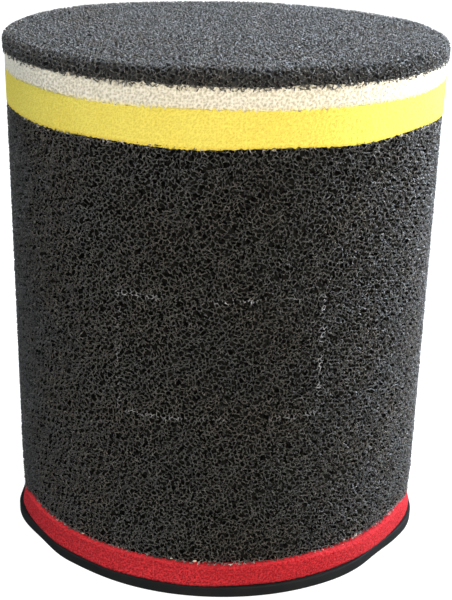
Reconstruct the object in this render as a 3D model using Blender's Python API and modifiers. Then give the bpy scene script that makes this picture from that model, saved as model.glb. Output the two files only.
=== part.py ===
"""Triple-layer foam air filter for an all-terrain motorcycle, with the wire cage that holds it open.

The filter stands on its seal: metres, +Z up, origin on the centre line at the seal's underside.
The wall and the closed top are the same laminate of three foams, coarse outside, medium between
and fine inside. The wall is a strip of it, rolled up and glued edge to edge at the back (+Y), and
the top is a disc of it, glued on the wall's end. Under the wall is a soft foam ring on a firm
closed-cell seal. A spot-welded wire cage stands inside, and the foam element lifts off it along
+Z to be washed and oiled.
"""

import math

import bpy

MM = 0.001

# Plies of the laminate, from the outside in.
COARSE_PLY = 5.0 * MM
MEDIUM_PLY = 5.5 * MM
FINE_PLY = 9.5 * MM

# The foam element.
OUTER_RADIUS = 63.0 * MM
WALL_HEIGHT = 117.4 * MM
GLUE_FILM = 0.8 * MM
SEAL_THICKNESS = 3.8 * MM
SOFT_RING_THICKNESS = 6.2 * MM
SEAL_RADIUS = 64.8 * MM
SOFT_RING_RADIUS = 63.8 * MM
TOP_EDGE_ROUNDING = 2.2 * MM
SEAL_EDGE_ROUNDING = 0.6 * MM
SEAM_SLOT = 1.2 * MM
GLUE_SETBACK = 0.5 * MM

# The wire cage.
CAGE_CLEARANCE = 0.8 * MM
WIRE_DIAMETER = 2.4 * MM
UPRIGHT_COUNT = 10
UPRIGHT_BEND = 8.0 * MM
UPRIGHT_END_RADIUS = 12.0 * MM
HOOP_COUNT = 4
TOP_RING_RADII = {"inner": 15.0 * MM, "outer": 27.0 * MM}
COLLAR_WALL = 1.2 * MM
COLLAR_HEIGHT = 15.0 * MM
COLLAR_LIP = 1.4 * MM
COLLAR_ROLL = 0.4 * MM

# Neighbours that touch keep this gap.
GAP = 0.3 * MM

ROUND_STEPS = 64
HOOP_STEPS = 40
WIRE_STEPS = 8
BEND_STEPS = 4
EDGE_STEPS = 3
SHARP_ANGLE = math.radians(35)
MERGE = 0.00001

INNER_RADIUS = OUTER_RADIUS - COARSE_PLY - MEDIUM_PLY - FINE_PLY


def stacked_levels():
    """Each level of the foam element as (bottom, top), from the seal up."""
    layers = {
        "seal": SEAL_THICKNESS,
        "soft_ring": SOFT_RING_THICKNESS,
        "base_glue": GLUE_FILM,
        "wall": WALL_HEIGHT,
        "top_glue": GLUE_FILM,
        "fine_disc": FINE_PLY,
        "medium_disc": MEDIUM_PLY,
        "coarse_disc": COARSE_PLY,
    }
    levels = {}
    height = 0.0
    for name, thickness in layers.items():
        levels[name] = (height, height + thickness)
        height += thickness
    return levels


LEVELS = stacked_levels()
FILTER_TOP = LEVELS["coarse_disc"][1]
CAGE_RADIUS = INNER_RADIUS - CAGE_CLEARANCE
CAGE_TOP = LEVELS["fine_disc"][0] - CAGE_CLEARANCE


def clear_scene():
    """Removes whatever the file holds, so that the script starts from nothing."""
    for item in list(bpy.data.objects):
        bpy.data.objects.remove(item)


def make_collection(name):
    """A new collection in the scene."""
    collection = bpy.data.collections.new(name)
    bpy.context.scene.collection.children.link(collection)
    return collection


def make_material(name, colour, roughness, metallic=0.0):
    """A Principled material of one colour."""
    material = bpy.data.materials.new(name)
    material.use_nodes = True
    shader = material.node_tree.nodes["Principled BSDF"]
    shader.inputs["Base Color"].default_value = (*colour, 1.0)
    shader.inputs["Roughness"].default_value = roughness
    shader.inputs["Metallic"].default_value = metallic
    material.diffuse_color = (*colour, 1.0)
    return material


def make_body(name):
    """The empty that a body's pieces are parented to, on the axis that the element lifts along."""
    body = bpy.data.objects.new(name, None)
    body.empty_display_size = OUTER_RADIUS
    PART.objects.link(body)
    return body


def keep(item, name, material, parent):
    """Names an object, gives it its material and body, and moves it to the part's collection."""
    item.name = name
    item.parent = parent
    item.data.materials.append(material)
    for collection in list(item.users_collection):
        collection.objects.unlink(item)
    PART.objects.link(item)
    return item


def turned(name, outline, material, parent):
    """A solid of revolution about Z, from a list of (radius, height) that runs down its outer side.

    A ring's outline is closed here. A disc's starts and ends on the axis, and stays open there.
    """
    count = len(outline)
    edges = [(i, i + 1) for i in range(count - 1)]
    if outline[0][0] > 0.0:
        edges.append((count - 1, 0))
    mesh = bpy.data.meshes.new(name)
    mesh.from_pydata([(radius, 0.0, height) for radius, height in outline], edges, [])
    item = keep(bpy.data.objects.new(name, mesh), name, material, parent)
    screw = item.modifiers.new("turn", "SCREW")
    screw.axis = "Z"
    screw.angle = 2 * math.pi
    screw.steps = ROUND_STEPS
    screw.render_steps = ROUND_STEPS
    screw.use_merge_vertices = True
    screw.merge_threshold = MERGE
    return item


def quarter_round(radius, height, size, turn):
    """Points of a rounded corner about (radius, height), from the angle turn down 90 degrees."""
    angles = [math.radians(turn - 90 * step / EDGE_STEPS) for step in range(EDGE_STEPS + 1)]
    return [(radius + size * math.cos(a), height + size * math.sin(a)) for a in angles]


def ring_outline(inner, outer, bottom, top):
    """A square-cut ring's outline."""
    return [(inner, top), (outer, top), (outer, bottom), (inner, bottom)]


def disc_outline(radius, bottom, top):
    """A square-cut disc's outline."""
    return [(0.0, top), (radius, top), (radius, bottom), (0.0, bottom)]


def between(level):
    """A level's heights, less half the gap on each side that touches a neighbour."""
    bottom, top = LEVELS[level]
    if bottom > 0.0:
        bottom += GAP / 2
    if top < FILTER_TOP:
        top -= GAP / 2
    return bottom, top


def make_box(size, centre):
    """A box, with its size in its mesh."""
    bpy.ops.mesh.primitive_cube_add(size=1.0, location=centre)
    box = bpy.context.object
    box.scale = size
    bpy.ops.object.transform_apply(location=False, rotation=False, scale=True)
    return box


def make_slot_cutter(bottom, top):
    """The cutter that opens the wall where the rolled laminate's two edges meet."""
    middle = (bottom + top) / 2
    cutter = make_box((SEAM_SLOT, OUTER_RADIUS, WALL_HEIGHT * 1.2), (0.0, OUTER_RADIUS, middle))
    cutter.name = "seam_slot"
    cutter.display_type = "WIRE"
    cutter.hide_render = True
    for collection in list(cutter.users_collection):
        collection.objects.unlink(cutter)
    CUTTERS.objects.link(cutter)
    return cutter


def make_wall(parent):
    """The three sleeves of the rolled laminate, and the glue in the seam through them."""
    bottom, top = between("wall")
    cutter = make_slot_cutter(bottom, top)
    plies = (
        ("outer_coarse_sleeve", COARSE_PLY, COARSE),
        ("middle_medium_sleeve", MEDIUM_PLY, MEDIUM),
        ("inner_fine_sleeve", FINE_PLY, FINE),
    )
    outer = OUTER_RADIUS
    for name, ply, material in plies:
        inner = outer - ply
        outline = ring_outline(inner + GAP / 2, outer - GAP / 2, bottom, top)
        sleeve = turned(name, outline, material, parent)
        slot = sleeve.modifiers.new("seam", "BOOLEAN")
        slot.operation = "DIFFERENCE"
        slot.object = cutter
        outer = inner
    depth = OUTER_RADIUS - INNER_RADIUS - 2 * GLUE_SETBACK
    middle = (OUTER_RADIUS + INNER_RADIUS) / 2
    size = (SEAM_SLOT - 2 * GAP, depth, top - bottom)
    strip = make_box(size, (0.0, middle, (bottom + top) / 2))
    keep(strip, "seam_glue_strip", GLUE, parent)


def make_closed_top(parent):
    """The closed top: three discs of the laminate, coarse side up, and their glue on the wall."""
    film = ring_outline(INNER_RADIUS + GLUE_SETBACK, OUTER_RADIUS - GLUE_SETBACK, *between("top_glue"))
    turned("top_glue_ring", film, GLUE, parent)
    turned("top_fine_disc", disc_outline(OUTER_RADIUS, *between("fine_disc")), FINE, parent)
    turned("top_medium_disc", disc_outline(OUTER_RADIUS, *between("medium_disc")), MEDIUM, parent)
    bottom, top = between("coarse_disc")
    edge = TOP_EDGE_ROUNDING
    outline = [(0.0, top)]
    outline += quarter_round(OUTER_RADIUS - edge, top - edge, edge, 90)
    outline += [(OUTER_RADIUS, bottom), (0.0, bottom)]
    turned("top_coarse_disc", outline, COARSE, parent)


def make_base(parent):
    """The glue, soft ring and firm seal under the wall."""
    film = ring_outline(INNER_RADIUS + GLUE_SETBACK, OUTER_RADIUS - GLUE_SETBACK, *between("base_glue"))
    turned("base_glue_ring", film, GLUE, parent)
    soft = ring_outline(INNER_RADIUS, SOFT_RING_RADIUS, *between("soft_ring"))
    turned("base_soft_ring", soft, SOFT_RING, parent)
    bottom, top = between("seal")
    edge = SEAL_EDGE_ROUNDING
    outline = [(INNER_RADIUS, top)]
    outline += quarter_round(SEAL_RADIUS - edge, top - edge, edge, 90)
    outline += quarter_round(SEAL_RADIUS - edge, bottom + edge, edge, 0)
    outline += [(INNER_RADIUS, bottom)]
    turned("base_seal_ring", outline, SEAL, parent)


def upright_path():
    """An upright's centre line: up the cage's side, round its shoulder and in across its top."""
    side = CAGE_RADIUS - WIRE_DIAMETER / 2
    crown = CAGE_TOP - WIRE_DIAMETER / 2
    shoulder = (side - UPRIGHT_BEND, crown - UPRIGHT_BEND)
    path = [(side, 0.0, COLLAR_LIP + GAP)]
    for step in range(BEND_STEPS + 1):
        angle = math.radians(90 * step / BEND_STEPS)
        across = shoulder[0] + UPRIGHT_BEND * math.cos(angle)
        height = shoulder[1] + UPRIGHT_BEND * math.sin(angle)
        path.append((across, 0.0, height))
    path.append((UPRIGHT_END_RADIUS, 0.0, crown))
    return path


def make_uprights(parent):
    """The bent wires, spaced evenly about the axis."""
    path = upright_path()
    for index in range(UPRIGHT_COUNT):
        name = f"cage_upright_{index + 1:02d}"
        curve = bpy.data.curves.new(name, "CURVE")
        curve.dimensions = "3D"
        curve.bevel_depth = WIRE_DIAMETER / 2
        curve.bevel_resolution = 2
        curve.use_fill_caps = True
        spline = curve.splines.new("POLY")
        spline.points.add(len(path) - 1)
        for target, point in zip(spline.points, path):
            target.co = (*point, 1.0)
        upright = keep(bpy.data.objects.new(name, curve), name, STEEL, parent)
        upright.rotation_euler.z = 2 * math.pi * (index + 0.5) / UPRIGHT_COUNT


def hoop(name, radius, height, parent):
    """A ring of the same wire."""
    bpy.ops.mesh.primitive_torus_add(
        major_radius=radius,
        minor_radius=WIRE_DIAMETER / 2,
        major_segments=HOOP_STEPS,
        minor_segments=WIRE_STEPS,
        location=(0.0, 0.0, height),
    )
    keep(bpy.context.object, name, STEEL, parent)


def make_hoops(parent):
    """The hoops up the cage's side and the rings under its top, all inside the uprights."""
    radius = CAGE_RADIUS - WIRE_DIAMETER * 1.5 - GAP
    low = COLLAR_HEIGHT
    high = CAGE_TOP - UPRIGHT_BEND - WIRE_DIAMETER
    for index in range(HOOP_COUNT):
        height = low + (high - low) * (index + 1) / HOOP_COUNT
        hoop(f"cage_hoop_{index + 1}", radius, height, parent)
    for name, ring_radius in TOP_RING_RADII.items():
        hoop(f"cage_{name}_top_ring", ring_radius, CAGE_TOP - WIRE_DIAMETER * 1.5 - GAP, parent)


def make_collar(parent):
    """The pressed collar that the uprights stand round, with its lip turned out under their feet."""
    outer = CAGE_RADIUS - WIRE_DIAMETER - GAP
    inner = outer - COLLAR_WALL
    outline = [
        (inner, COLLAR_HEIGHT - COLLAR_ROLL),
        (inner + COLLAR_ROLL, COLLAR_HEIGHT),
        (outer - COLLAR_ROLL, COLLAR_HEIGHT),
        (outer, COLLAR_HEIGHT - COLLAR_ROLL),
        (outer, COLLAR_LIP),
        (CAGE_RADIUS, COLLAR_LIP),
        (CAGE_RADIUS, 0.0),
        (inner + COLLAR_ROLL, 0.0),
        (inner, COLLAR_ROLL),
    ]
    turned("cage_collar", outline, STEEL, parent)


def settle_meshes():
    """Makes each mesh object's modifiers real, and shades its round faces smooth."""
    bpy.context.view_layer.update()
    depsgraph = bpy.context.evaluated_depsgraph_get()
    for item in PART.objects:
        if item.type != "MESH":
            continue
        mesh = bpy.data.meshes.new_from_object(item.evaluated_get(depsgraph))
        mesh.shade_smooth()
        mesh.set_sharp_from_angle(angle=SHARP_ANGLE)
        item.modifiers.clear()
        item.data = mesh


clear_scene()
PART = make_collection("foam_air_filter")
CUTTERS = make_collection("cutters")
COARSE = make_material("coarse_foam", (0.022, 0.024, 0.026), 0.75)
MEDIUM = make_material("medium_foam", (0.78, 0.74, 0.62), 0.9)
FINE = make_material("fine_foam", (0.86, 0.66, 0.05), 0.9)
SOFT_RING = make_material("soft_ring_foam", (0.60, 0.03, 0.04), 0.9)
SEAL = make_material("closed_cell_seal", (0.030, 0.033, 0.034), 0.7)
GLUE = make_material("glue", (0.70, 0.68, 0.62), 0.5)
STEEL = make_material("zinc_plated_steel", (0.62, 0.62, 0.60), 0.35, 1.0)

foam_element = make_body("foam_element")
make_base(foam_element)
make_wall(foam_element)
make_closed_top(foam_element)

support_cage = make_body("support_cage")
make_uprights(support_cage)
make_hoops(support_cage)
make_collar(support_cage)
settle_meshes()
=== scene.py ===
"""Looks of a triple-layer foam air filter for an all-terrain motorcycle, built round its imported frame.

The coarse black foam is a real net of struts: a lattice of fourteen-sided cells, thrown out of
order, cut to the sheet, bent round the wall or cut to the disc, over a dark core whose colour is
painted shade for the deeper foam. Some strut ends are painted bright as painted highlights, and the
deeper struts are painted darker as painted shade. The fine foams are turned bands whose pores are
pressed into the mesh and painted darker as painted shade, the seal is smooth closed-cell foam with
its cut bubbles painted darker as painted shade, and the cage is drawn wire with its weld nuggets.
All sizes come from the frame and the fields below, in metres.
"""

import itertools
import logging
import math
from dataclasses import dataclass
from enum import Enum
from typing import Callable

import bmesh
import bpy
import numpy as np
from mathutils import Matrix, Vector


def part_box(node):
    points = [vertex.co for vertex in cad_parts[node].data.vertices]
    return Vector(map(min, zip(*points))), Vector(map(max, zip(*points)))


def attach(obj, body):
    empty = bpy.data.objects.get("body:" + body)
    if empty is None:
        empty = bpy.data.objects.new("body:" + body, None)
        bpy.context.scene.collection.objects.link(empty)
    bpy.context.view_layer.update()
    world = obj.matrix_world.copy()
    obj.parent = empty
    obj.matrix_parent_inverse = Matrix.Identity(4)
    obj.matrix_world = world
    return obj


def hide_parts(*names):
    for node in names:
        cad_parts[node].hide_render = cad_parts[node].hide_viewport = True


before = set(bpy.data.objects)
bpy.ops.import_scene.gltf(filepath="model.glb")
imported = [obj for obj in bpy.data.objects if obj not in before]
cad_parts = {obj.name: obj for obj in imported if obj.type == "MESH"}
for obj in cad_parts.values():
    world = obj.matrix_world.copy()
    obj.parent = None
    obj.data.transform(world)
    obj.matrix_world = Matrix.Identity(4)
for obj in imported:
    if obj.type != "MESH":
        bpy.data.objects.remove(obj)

LOG = logging.getLogger("air_filter")
MM = 0.001
FULL_TURN = 2 * math.pi
ELEMENT = "foam_element"
CAGE = "support_cage"
TINY = 1e-9

Colour = tuple[float, float, float]
Array = np.ndarray
Piece = bpy.types.Object


# ---------------------------------------------------------------- helpers for numbers


def wave_round(angle: Array, orders: tuple[int, int], size: float, seed: int) -> Array:
    """A wave that closes on itself round the axis.

    Args:
        angle: Angles about the axis.
        orders: The lowest and highest number of waves in a full turn.
        size: The wave's root mean square height.
        seed: Chooses the wave.

    Returns:
        The wave's height at each angle.
    """
    rng = np.random.default_rng(seed)
    total = np.zeros_like(angle)
    counts = range(orders[0], orders[1] + 1)
    for count in counts:
        total += rng.normal() * np.sin(count * angle + rng.uniform(0, FULL_TURN))
    return total * size * math.sqrt(2 / len(counts))


def smooth_noise(points: Array, lengths: tuple[float, float], size: float, seed: int, waves: int = 14) -> Array:
    """A smooth random displacement of points in space.

    Args:
        points: Points, one a row.
        lengths: The shortest and longest wavelength.
        size: The root mean square of each coordinate's displacement.
        seed: Chooses the noise.
        waves: How many plane waves it sums.

    Returns:
        A displacement for each point.
    """
    rng = np.random.default_rng(seed)
    moved = np.zeros_like(points)
    for _ in range(waves):
        direction = rng.normal(size=3)
        direction /= np.linalg.norm(direction)
        length = rng.uniform(*lengths)
        phase = points @ direction * (FULL_TURN / length) + rng.uniform(0, FULL_TURN)
        moved += np.sin(phase)[:, None] * rng.normal(size=3)
    return moved * size * math.sqrt(2 / waves)


def pore_distance(around: Array, along: Array, turn_length: float, pitch: float, seed: int) -> Array:
    """How far each point of a rolled surface is from the middle of its nearest pore.

    Args:
        around: Distances round the surface, which repeats after turn_length.
        along: Distances along it.
        turn_length: The length of a full turn.
        pitch: The mean distance between pores.
        seed: Places the pores.

    Returns:
        The distance in pitches.
    """
    rng = np.random.default_rng(seed)
    columns = max(3, round(turn_length / pitch))
    u = around / turn_length * columns
    v = along / pitch
    rows = int(v.max() - v.min()) + 5
    first = math.floor(v.min()) - 2
    middles = rng.uniform(0.12, 0.88, size=(columns, rows, 2))
    column, row = np.floor(u).astype(int), np.floor(v).astype(int)
    nearest = np.full(u.shape, 9.0)
    for right, up in itertools.product((-1, 0, 1), repeat=2):
        middle = middles[(column + right) % columns, row + up - first]
        distance = np.hypot(column + right + middle[..., 0] - u, row + up + middle[..., 1] - v)
        nearest = np.minimum(nearest, distance)
    return nearest


def smooth_step(value: Array, low: float, high: float) -> Array:
    """Goes from 0 at low to 1 at high."""
    share = np.clip((value - low) / (high - low), 0, 1)
    return share * share * (3 - 2 * share)


@dataclass(frozen=True)
class FootShape:
    """How the foot of the filter is out of true: flattened at its sides, its wall sagging there.

    A pair of heights or radii says where an effect starts and where it is whole. A turn is a pair
    of sines of the bearing, from the front or back.
    """

    left_sag: float = 4.7 * MM
    right_sag: float = 4.0 * MM
    front_turn: tuple[float, float] = (0.88, 0.99)
    back_turn: tuple[float, float] = (0.0, 0.75)
    sag_starts: tuple[float, float] = (4.2 * MM, 11.5 * MM)
    sag_fades: tuple[float, float] = (12 * MM, 36 * MM)
    flat_fades: tuple[float, float] = (10 * MM, 18 * MM)
    flat_softness: float = 0.006
    outer_part: tuple[float, float] = (48 * MM, 57 * MM)

    def sag(self, points: Array) -> Array:
        """How far the wall hangs down over the base at each point's bearing.

        Args:
            points: Points, in any array whose last axis is x, y, z.

        Returns:
            The drop at each point: it starts quickly at the front and dies away slowly round the back.
        """
        across, back = points[..., 0], points[..., 1]
        radius = np.hypot(across, back) + TINY
        in_front = smooth_step(np.abs(across) / radius, *self.front_turn)
        behind = 1 - smooth_step(back / radius, *self.back_turn)
        return np.where(across < 0, self.left_sag, self.right_sag) * np.where(back > 0, behind, in_front)

    def press(self, points: Array, reach: float = 0.974) -> Array:
        """Flattens the two sides of the foot and lets its wall sag.

        Args:
            points: Points, in any array whose last axis is x, y, z.
            reach: How far the flat sides stand from the axis, as a share of the radius.

        Returns:
            The moved points.
        """
        radius = np.hypot(points[..., 0], points[..., 1]) + TINY
        height = points[..., 2]
        sine = np.abs(points[..., 0]) / radius
        excess = np.log1p(np.exp((sine - reach) / self.flat_softness)) * self.flat_softness
        near_foot = 1 - smooth_step(height, *self.flat_fades)
        outer = smooth_step(radius, *self.outer_part)
        pressed = smooth_step(height, *self.sag_starts) * (1 - smooth_step(height, *self.sag_fades))
        moved = points.copy()
        moved[..., 0] *= 1 - excess / (sine + TINY) * near_foot * outer
        moved[..., 2] -= self.sag(points) * pressed * outer
        return moved


FOOT = FootShape()


# ---------------------------------------------------------------- helpers for meshes


def add_piece(name: str, vertices: Array, faces: list[Array], body: str, smooth: bool = True) -> Piece:
    """Makes a mesh piece that rides on a body.

    Args:
        name: The piece's name.
        vertices: Points, one a row.
        faces: Arrays of vertex numbers, each with one face a row.
        body: The body it rides on.
        smooth: Shades it smooth.

    Returns:
        The piece.
    """
    mesh = bpy.data.meshes.new(name)
    mesh.vertices.add(len(vertices))
    mesh.vertices.foreach_set("co", vertices.astype(np.float32).ravel())
    loops = np.concatenate([part.ravel() for part in faces])
    sizes = np.concatenate([np.full(len(part), part.shape[1]) for part in faces])
    mesh.loops.add(len(loops))
    mesh.loops.foreach_set("vertex_index", loops.astype(np.int32))
    mesh.polygons.add(len(sizes))
    starts = np.concatenate(([0], np.cumsum(sizes)[:-1]))
    mesh.polygons.foreach_set("loop_start", starts.astype(np.int32))
    mesh.polygons.foreach_set("use_smooth", np.full(len(sizes), smooth))
    mesh.update(calc_edges=True)
    mesh.validate()
    piece = bpy.data.objects.new(name, mesh)
    bpy.context.scene.collection.objects.link(piece)
    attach(piece, body)
    return piece


def points_of(piece: Piece) -> Array:
    """A piece's points, one a row."""
    points = np.empty(len(piece.data.vertices) * 3, dtype=np.float32)
    piece.data.vertices.foreach_get("co", points)
    return points.reshape(-1, 3).astype(float)


def move_points(piece: Piece, points: Array) -> None:
    """Puts a piece's points in new places."""
    piece.data.vertices.foreach_set("co", points.astype(np.float32).ravel())
    piece.data.update()


def paint(piece: Piece, name: str, values: Array) -> None:
    """Stores a number for each vertex of a piece, for its material to read."""
    attribute = piece.data.attributes.new(name, "FLOAT", "POINT")
    attribute.data.foreach_set("value", values.astype(np.float32))


def dress(piece: Piece, finish: "Finish", nodes: tuple[str, ...] = ()) -> Piece:
    """Gives a piece its material and hides the CAD nodes that it stands for."""
    piece.data.materials.append(finish.material())
    if nodes:
        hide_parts(*nodes)
    return piece


def turned_vertices(outline: Array, steps: int) -> tuple[Array, Array]:
    """The points of an outline turned round the axis.

    Args:
        outline: (radius, height) points, one a row.
        steps: How many copies stand round the axis.

    Returns:
        The points, as an array of steps by outline points by 3, and each step's angle.
    """
    angle = np.arange(steps) * (FULL_TURN / steps)
    radius, height = outline[:, 0], outline[:, 1]
    points = np.empty((steps, len(outline), 3))
    points[..., 0] = radius * np.sin(angle)[:, None]
    points[..., 1] = radius * np.cos(angle)[:, None]
    points[..., 2] = height
    return points, angle


def turned_faces(steps: int, rows: int, closed: bool) -> list[Array]:
    """The faces of a turned grid, facing out when its outline runs down its outer side.

    Args:
        steps: Copies round the axis.
        rows: Points in the outline.
        closed: The outline is a loop. If not, its two ends are closed by one face each.

    Returns:
        Arrays of vertex numbers, each with one face a row.
    """
    step = np.arange(steps)[:, None]
    row = np.arange(rows if closed else rows - 1)[None, :]
    after, below = (step + 1) % steps, (row + 1) % rows
    grid = (step * rows + row, step * rows + below, after * rows + below, after * rows + row)
    quads = np.stack(grid, axis=-1).reshape(-1, 4)
    if closed:
        return [quads]
    top = (np.arange(steps) * rows)[None, :]
    bottom = (np.arange(steps)[::-1] * rows + rows - 1)[None, :]
    return [quads, top, bottom]


def spread(low: float, high: float, pitch: float) -> Array:
    """Evenly spaced numbers from low to high, both ends included, about pitch apart."""
    return np.linspace(low, high, max(2, round(abs(high - low) / pitch) + 1))


# ---------------------------------------------------------------- helpers for materials


class Wiring:
    """Adds nodes to a node tree and links them."""

    def __init__(self, tree: bpy.types.NodeTree) -> None:
        """Starts on a tree."""
        self.tree = tree

    def node(self, kind: str, inputs: dict | None = None, **settings) -> bpy.types.Node:
        """Adds a node.

        Args:
            kind: The node's type, without its ShaderNode prefix.
            inputs: A value or a socket for each named or numbered input.
            settings: The node's own properties.

        Returns:
            The node.
        """
        made = self.tree.nodes.new("ShaderNode" + kind)
        for name, value in settings.items():
            setattr(made, name, value)
        for key, value in (inputs or {}).items():
            if isinstance(value, bpy.types.NodeSocket):
                self.tree.links.new(value, made.inputs[key])
            else:
                made.inputs[key].default_value = value
        return made

    def maths(self, operation: str, first, second=0.0, clamp: bool = False) -> bpy.types.NodeSocket:
        """The result of a sum on two numbers or sockets."""
        made = self.node("Math", {0: first, 1: second}, operation=operation, use_clamp=clamp)
        return made.outputs[0]

    def ramp(
        self, value, low: float, high: float, out_low: float = 0.0, out_high: float = 1.0
    ) -> bpy.types.NodeSocket:
        """Maps a number from one range to another, and holds it inside."""
        inputs = {"Value": value, "From Min": low, "From Max": high, "To Min": out_low, "To Max": out_high}
        return self.node("MapRange", inputs, clamp=True).outputs["Result"]

    def mix(self, share, first, second) -> bpy.types.NodeSocket:
        """A mix of two colours."""
        made = self.node("Mix", data_type="RGBA")
        for socket, value in ((made.inputs[0], share), (made.inputs[6], first), (made.inputs[7], second)):
            if isinstance(value, bpy.types.NodeSocket):
                self.tree.links.new(value, socket)
            elif isinstance(value, tuple):
                socket.default_value = (*value, 1.0)
            else:
                socket.default_value = value
        return made.outputs[2]

    def attribute(self, name: str) -> bpy.types.NodeSocket:
        """A number stored on the mesh."""
        return self.node("Attribute", attribute_name=name).outputs["Fac"]

    def place(self) -> bpy.types.NodeSocket:
        """The surface's place in the piece's own frame."""
        return self.node("TexCoord").outputs["Object"]


class Effect(Enum):
    """The shader groups that several materials share."""

    BLOTCH = "blotch"
    GRAIN = "grain"
    PORES = "pores"


def _socket(tree: bpy.types.NodeTree, name: str, side: str, kind: str, value=None) -> None:
    """Adds a named input or output to a group."""
    made = tree.interface.new_socket(name=name, in_out=side, socket_type="NodeSocket" + kind)
    if value is not None:
        made.default_value = value


def _build_blotch(tree: bpy.types.NodeTree, wires: Wiring) -> None:
    """Large soft patches of a second colour over a first one."""
    _socket(tree, "Vector", "INPUT", "Vector")
    _socket(tree, "Colour", "INPUT", "Color")
    _socket(tree, "Patch Colour", "INPUT", "Color")
    _socket(tree, "Per Metre", "INPUT", "Float", 40.0)
    _socket(tree, "Amount", "INPUT", "Float", 0.5)
    _socket(tree, "Colour", "OUTPUT", "Color")
    start = tree.nodes.new("NodeGroupInput").outputs
    noise = wires.node(
        "TexNoise", {"Vector": start["Vector"], "Scale": start["Per Metre"], "Detail": 4.0, "Roughness": 0.6}
    )
    share = wires.maths("MULTIPLY", wires.ramp(noise.outputs["Fac"], 0.38, 0.66), start["Amount"])
    mixed = wires.mix(share, start["Colour"], start["Patch Colour"])
    tree.links.new(mixed, tree.nodes.new("NodeGroupOutput").inputs["Colour"])


def _build_grain(tree: bpy.types.NodeTree, wires: Wiring) -> None:
    """Fine even grain, as a value about a half."""
    _socket(tree, "Vector", "INPUT", "Vector")
    _socket(tree, "Per Metre", "INPUT", "Float", 2000.0)
    _socket(tree, "Value", "OUTPUT", "Float")
    start = tree.nodes.new("NodeGroupInput").outputs
    noise = wires.node(
        "TexNoise", {"Vector": start["Vector"], "Scale": start["Per Metre"], "Detail": 2.0, "Roughness": 0.55}
    )
    end = tree.nodes.new("NodeGroupOutput")
    tree.links.new(noise.outputs["Fac"], end.inputs["Value"])


def _build_pores(tree: bpy.types.NodeTree, wires: Wiring) -> None:
    """Small round cells: an open mask, and a height that dips in each of them."""
    _socket(tree, "Vector", "INPUT", "Vector")
    _socket(tree, "Per Metre", "INPUT", "Float", 1500.0)
    _socket(tree, "Opening", "INPUT", "Float", 0.35)
    _socket(tree, "Mask", "OUTPUT", "Float")
    _socket(tree, "Height", "OUTPUT", "Float")
    start = tree.nodes.new("NodeGroupInput").outputs
    cells = wires.node("TexVoronoi", {"Vector": start["Vector"], "Scale": start["Per Metre"], "Randomness": 0.9})
    inside = wires.maths("SUBTRACT", start["Opening"], cells.outputs["Distance"])
    mask = wires.ramp(inside, -0.08, 0.14)
    end = tree.nodes.new("NodeGroupOutput")
    tree.links.new(mask, end.inputs["Mask"])
    tree.links.new(wires.maths("SUBTRACT", 1.0, mask), end.inputs["Height"])


EFFECT_BUILDERS: dict[Effect, Callable] = {
    Effect.BLOTCH: _build_blotch,
    Effect.GRAIN: _build_grain,
    Effect.PORES: _build_pores,
}


def place_effect(wires: Wiring, effect: Effect, inputs: dict) -> bpy.types.Node:
    """Puts a shared effect into a material, building its group the first time.

    Args:
        wires: The material's wiring.
        effect: Which effect.
        inputs: A value, a colour or a socket for each named input.

    Returns:
        The group's node.
    """
    tree = bpy.data.node_groups.get(effect.value)
    if tree is None:
        tree = bpy.data.node_groups.new(effect.value, "ShaderNodeTree")
        EFFECT_BUILDERS[effect](tree, Wiring(tree))
    made = wires.tree.nodes.new("ShaderNodeGroup")
    made.node_tree = tree
    for name, value in inputs.items():
        socket = made.inputs[name]
        if isinstance(value, bpy.types.NodeSocket):
            wires.tree.links.new(value, socket)
        elif isinstance(value, tuple):
            socket.default_value = (*value, 1.0)
        else:
            socket.default_value = value
    return made


# ---------------------------------------------------------------- finishes


@dataclass(frozen=True)
class Finish:
    """A named material and the record's slot that it stands for."""

    name: str
    slot: str

    def material(self) -> bpy.types.Material:
        """The material, made the first time that it is asked for."""
        full_name = self.name + "_finish"
        found = bpy.data.materials.get(full_name)
        if found is not None:
            return found
        made = bpy.data.materials.new(full_name)
        made.use_nodes = True
        wires = Wiring(made.node_tree)
        self.wire(wires, made.node_tree.nodes["Principled BSDF"])
        return made

    def wire(self, wires: Wiring, shader: bpy.types.Node) -> None:
        """Wires the finish to its Principled shader."""
        raise NotImplementedError

    @staticmethod
    def patches(
        wires: Wiring, place: bpy.types.NodeSocket, first: Colour, second: Colour, per_metre: float, amount: float
    ) -> bpy.types.NodeSocket:
        """Large soft patches of a second colour over a first one."""
        inputs = {
            "Vector": place,
            "Colour": first,
            "Patch Colour": second,
            "Per Metre": per_metre,
            "Amount": amount,
        }
        return place_effect(wires, Effect.BLOTCH, inputs).outputs["Colour"]

    @staticmethod
    def grain(wires: Wiring, place: bpy.types.NodeSocket, per_metre: float) -> bpy.types.NodeSocket:
        """Fine even grain, about a half."""
        return place_effect(wires, Effect.GRAIN, {"Vector": place, "Per Metre": per_metre}).outputs["Value"]

    @staticmethod
    def bump(wires: Wiring, shader: bpy.types.Node, height, depth: float, strength: float = 1.0) -> None:
        """Feeds a height to the shader's normal."""
        made = wires.node("Bump", {"Height": height, "Distance": depth, "Strength": strength})
        wires.tree.links.new(made.outputs[0], shader.inputs["Normal"])


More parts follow.
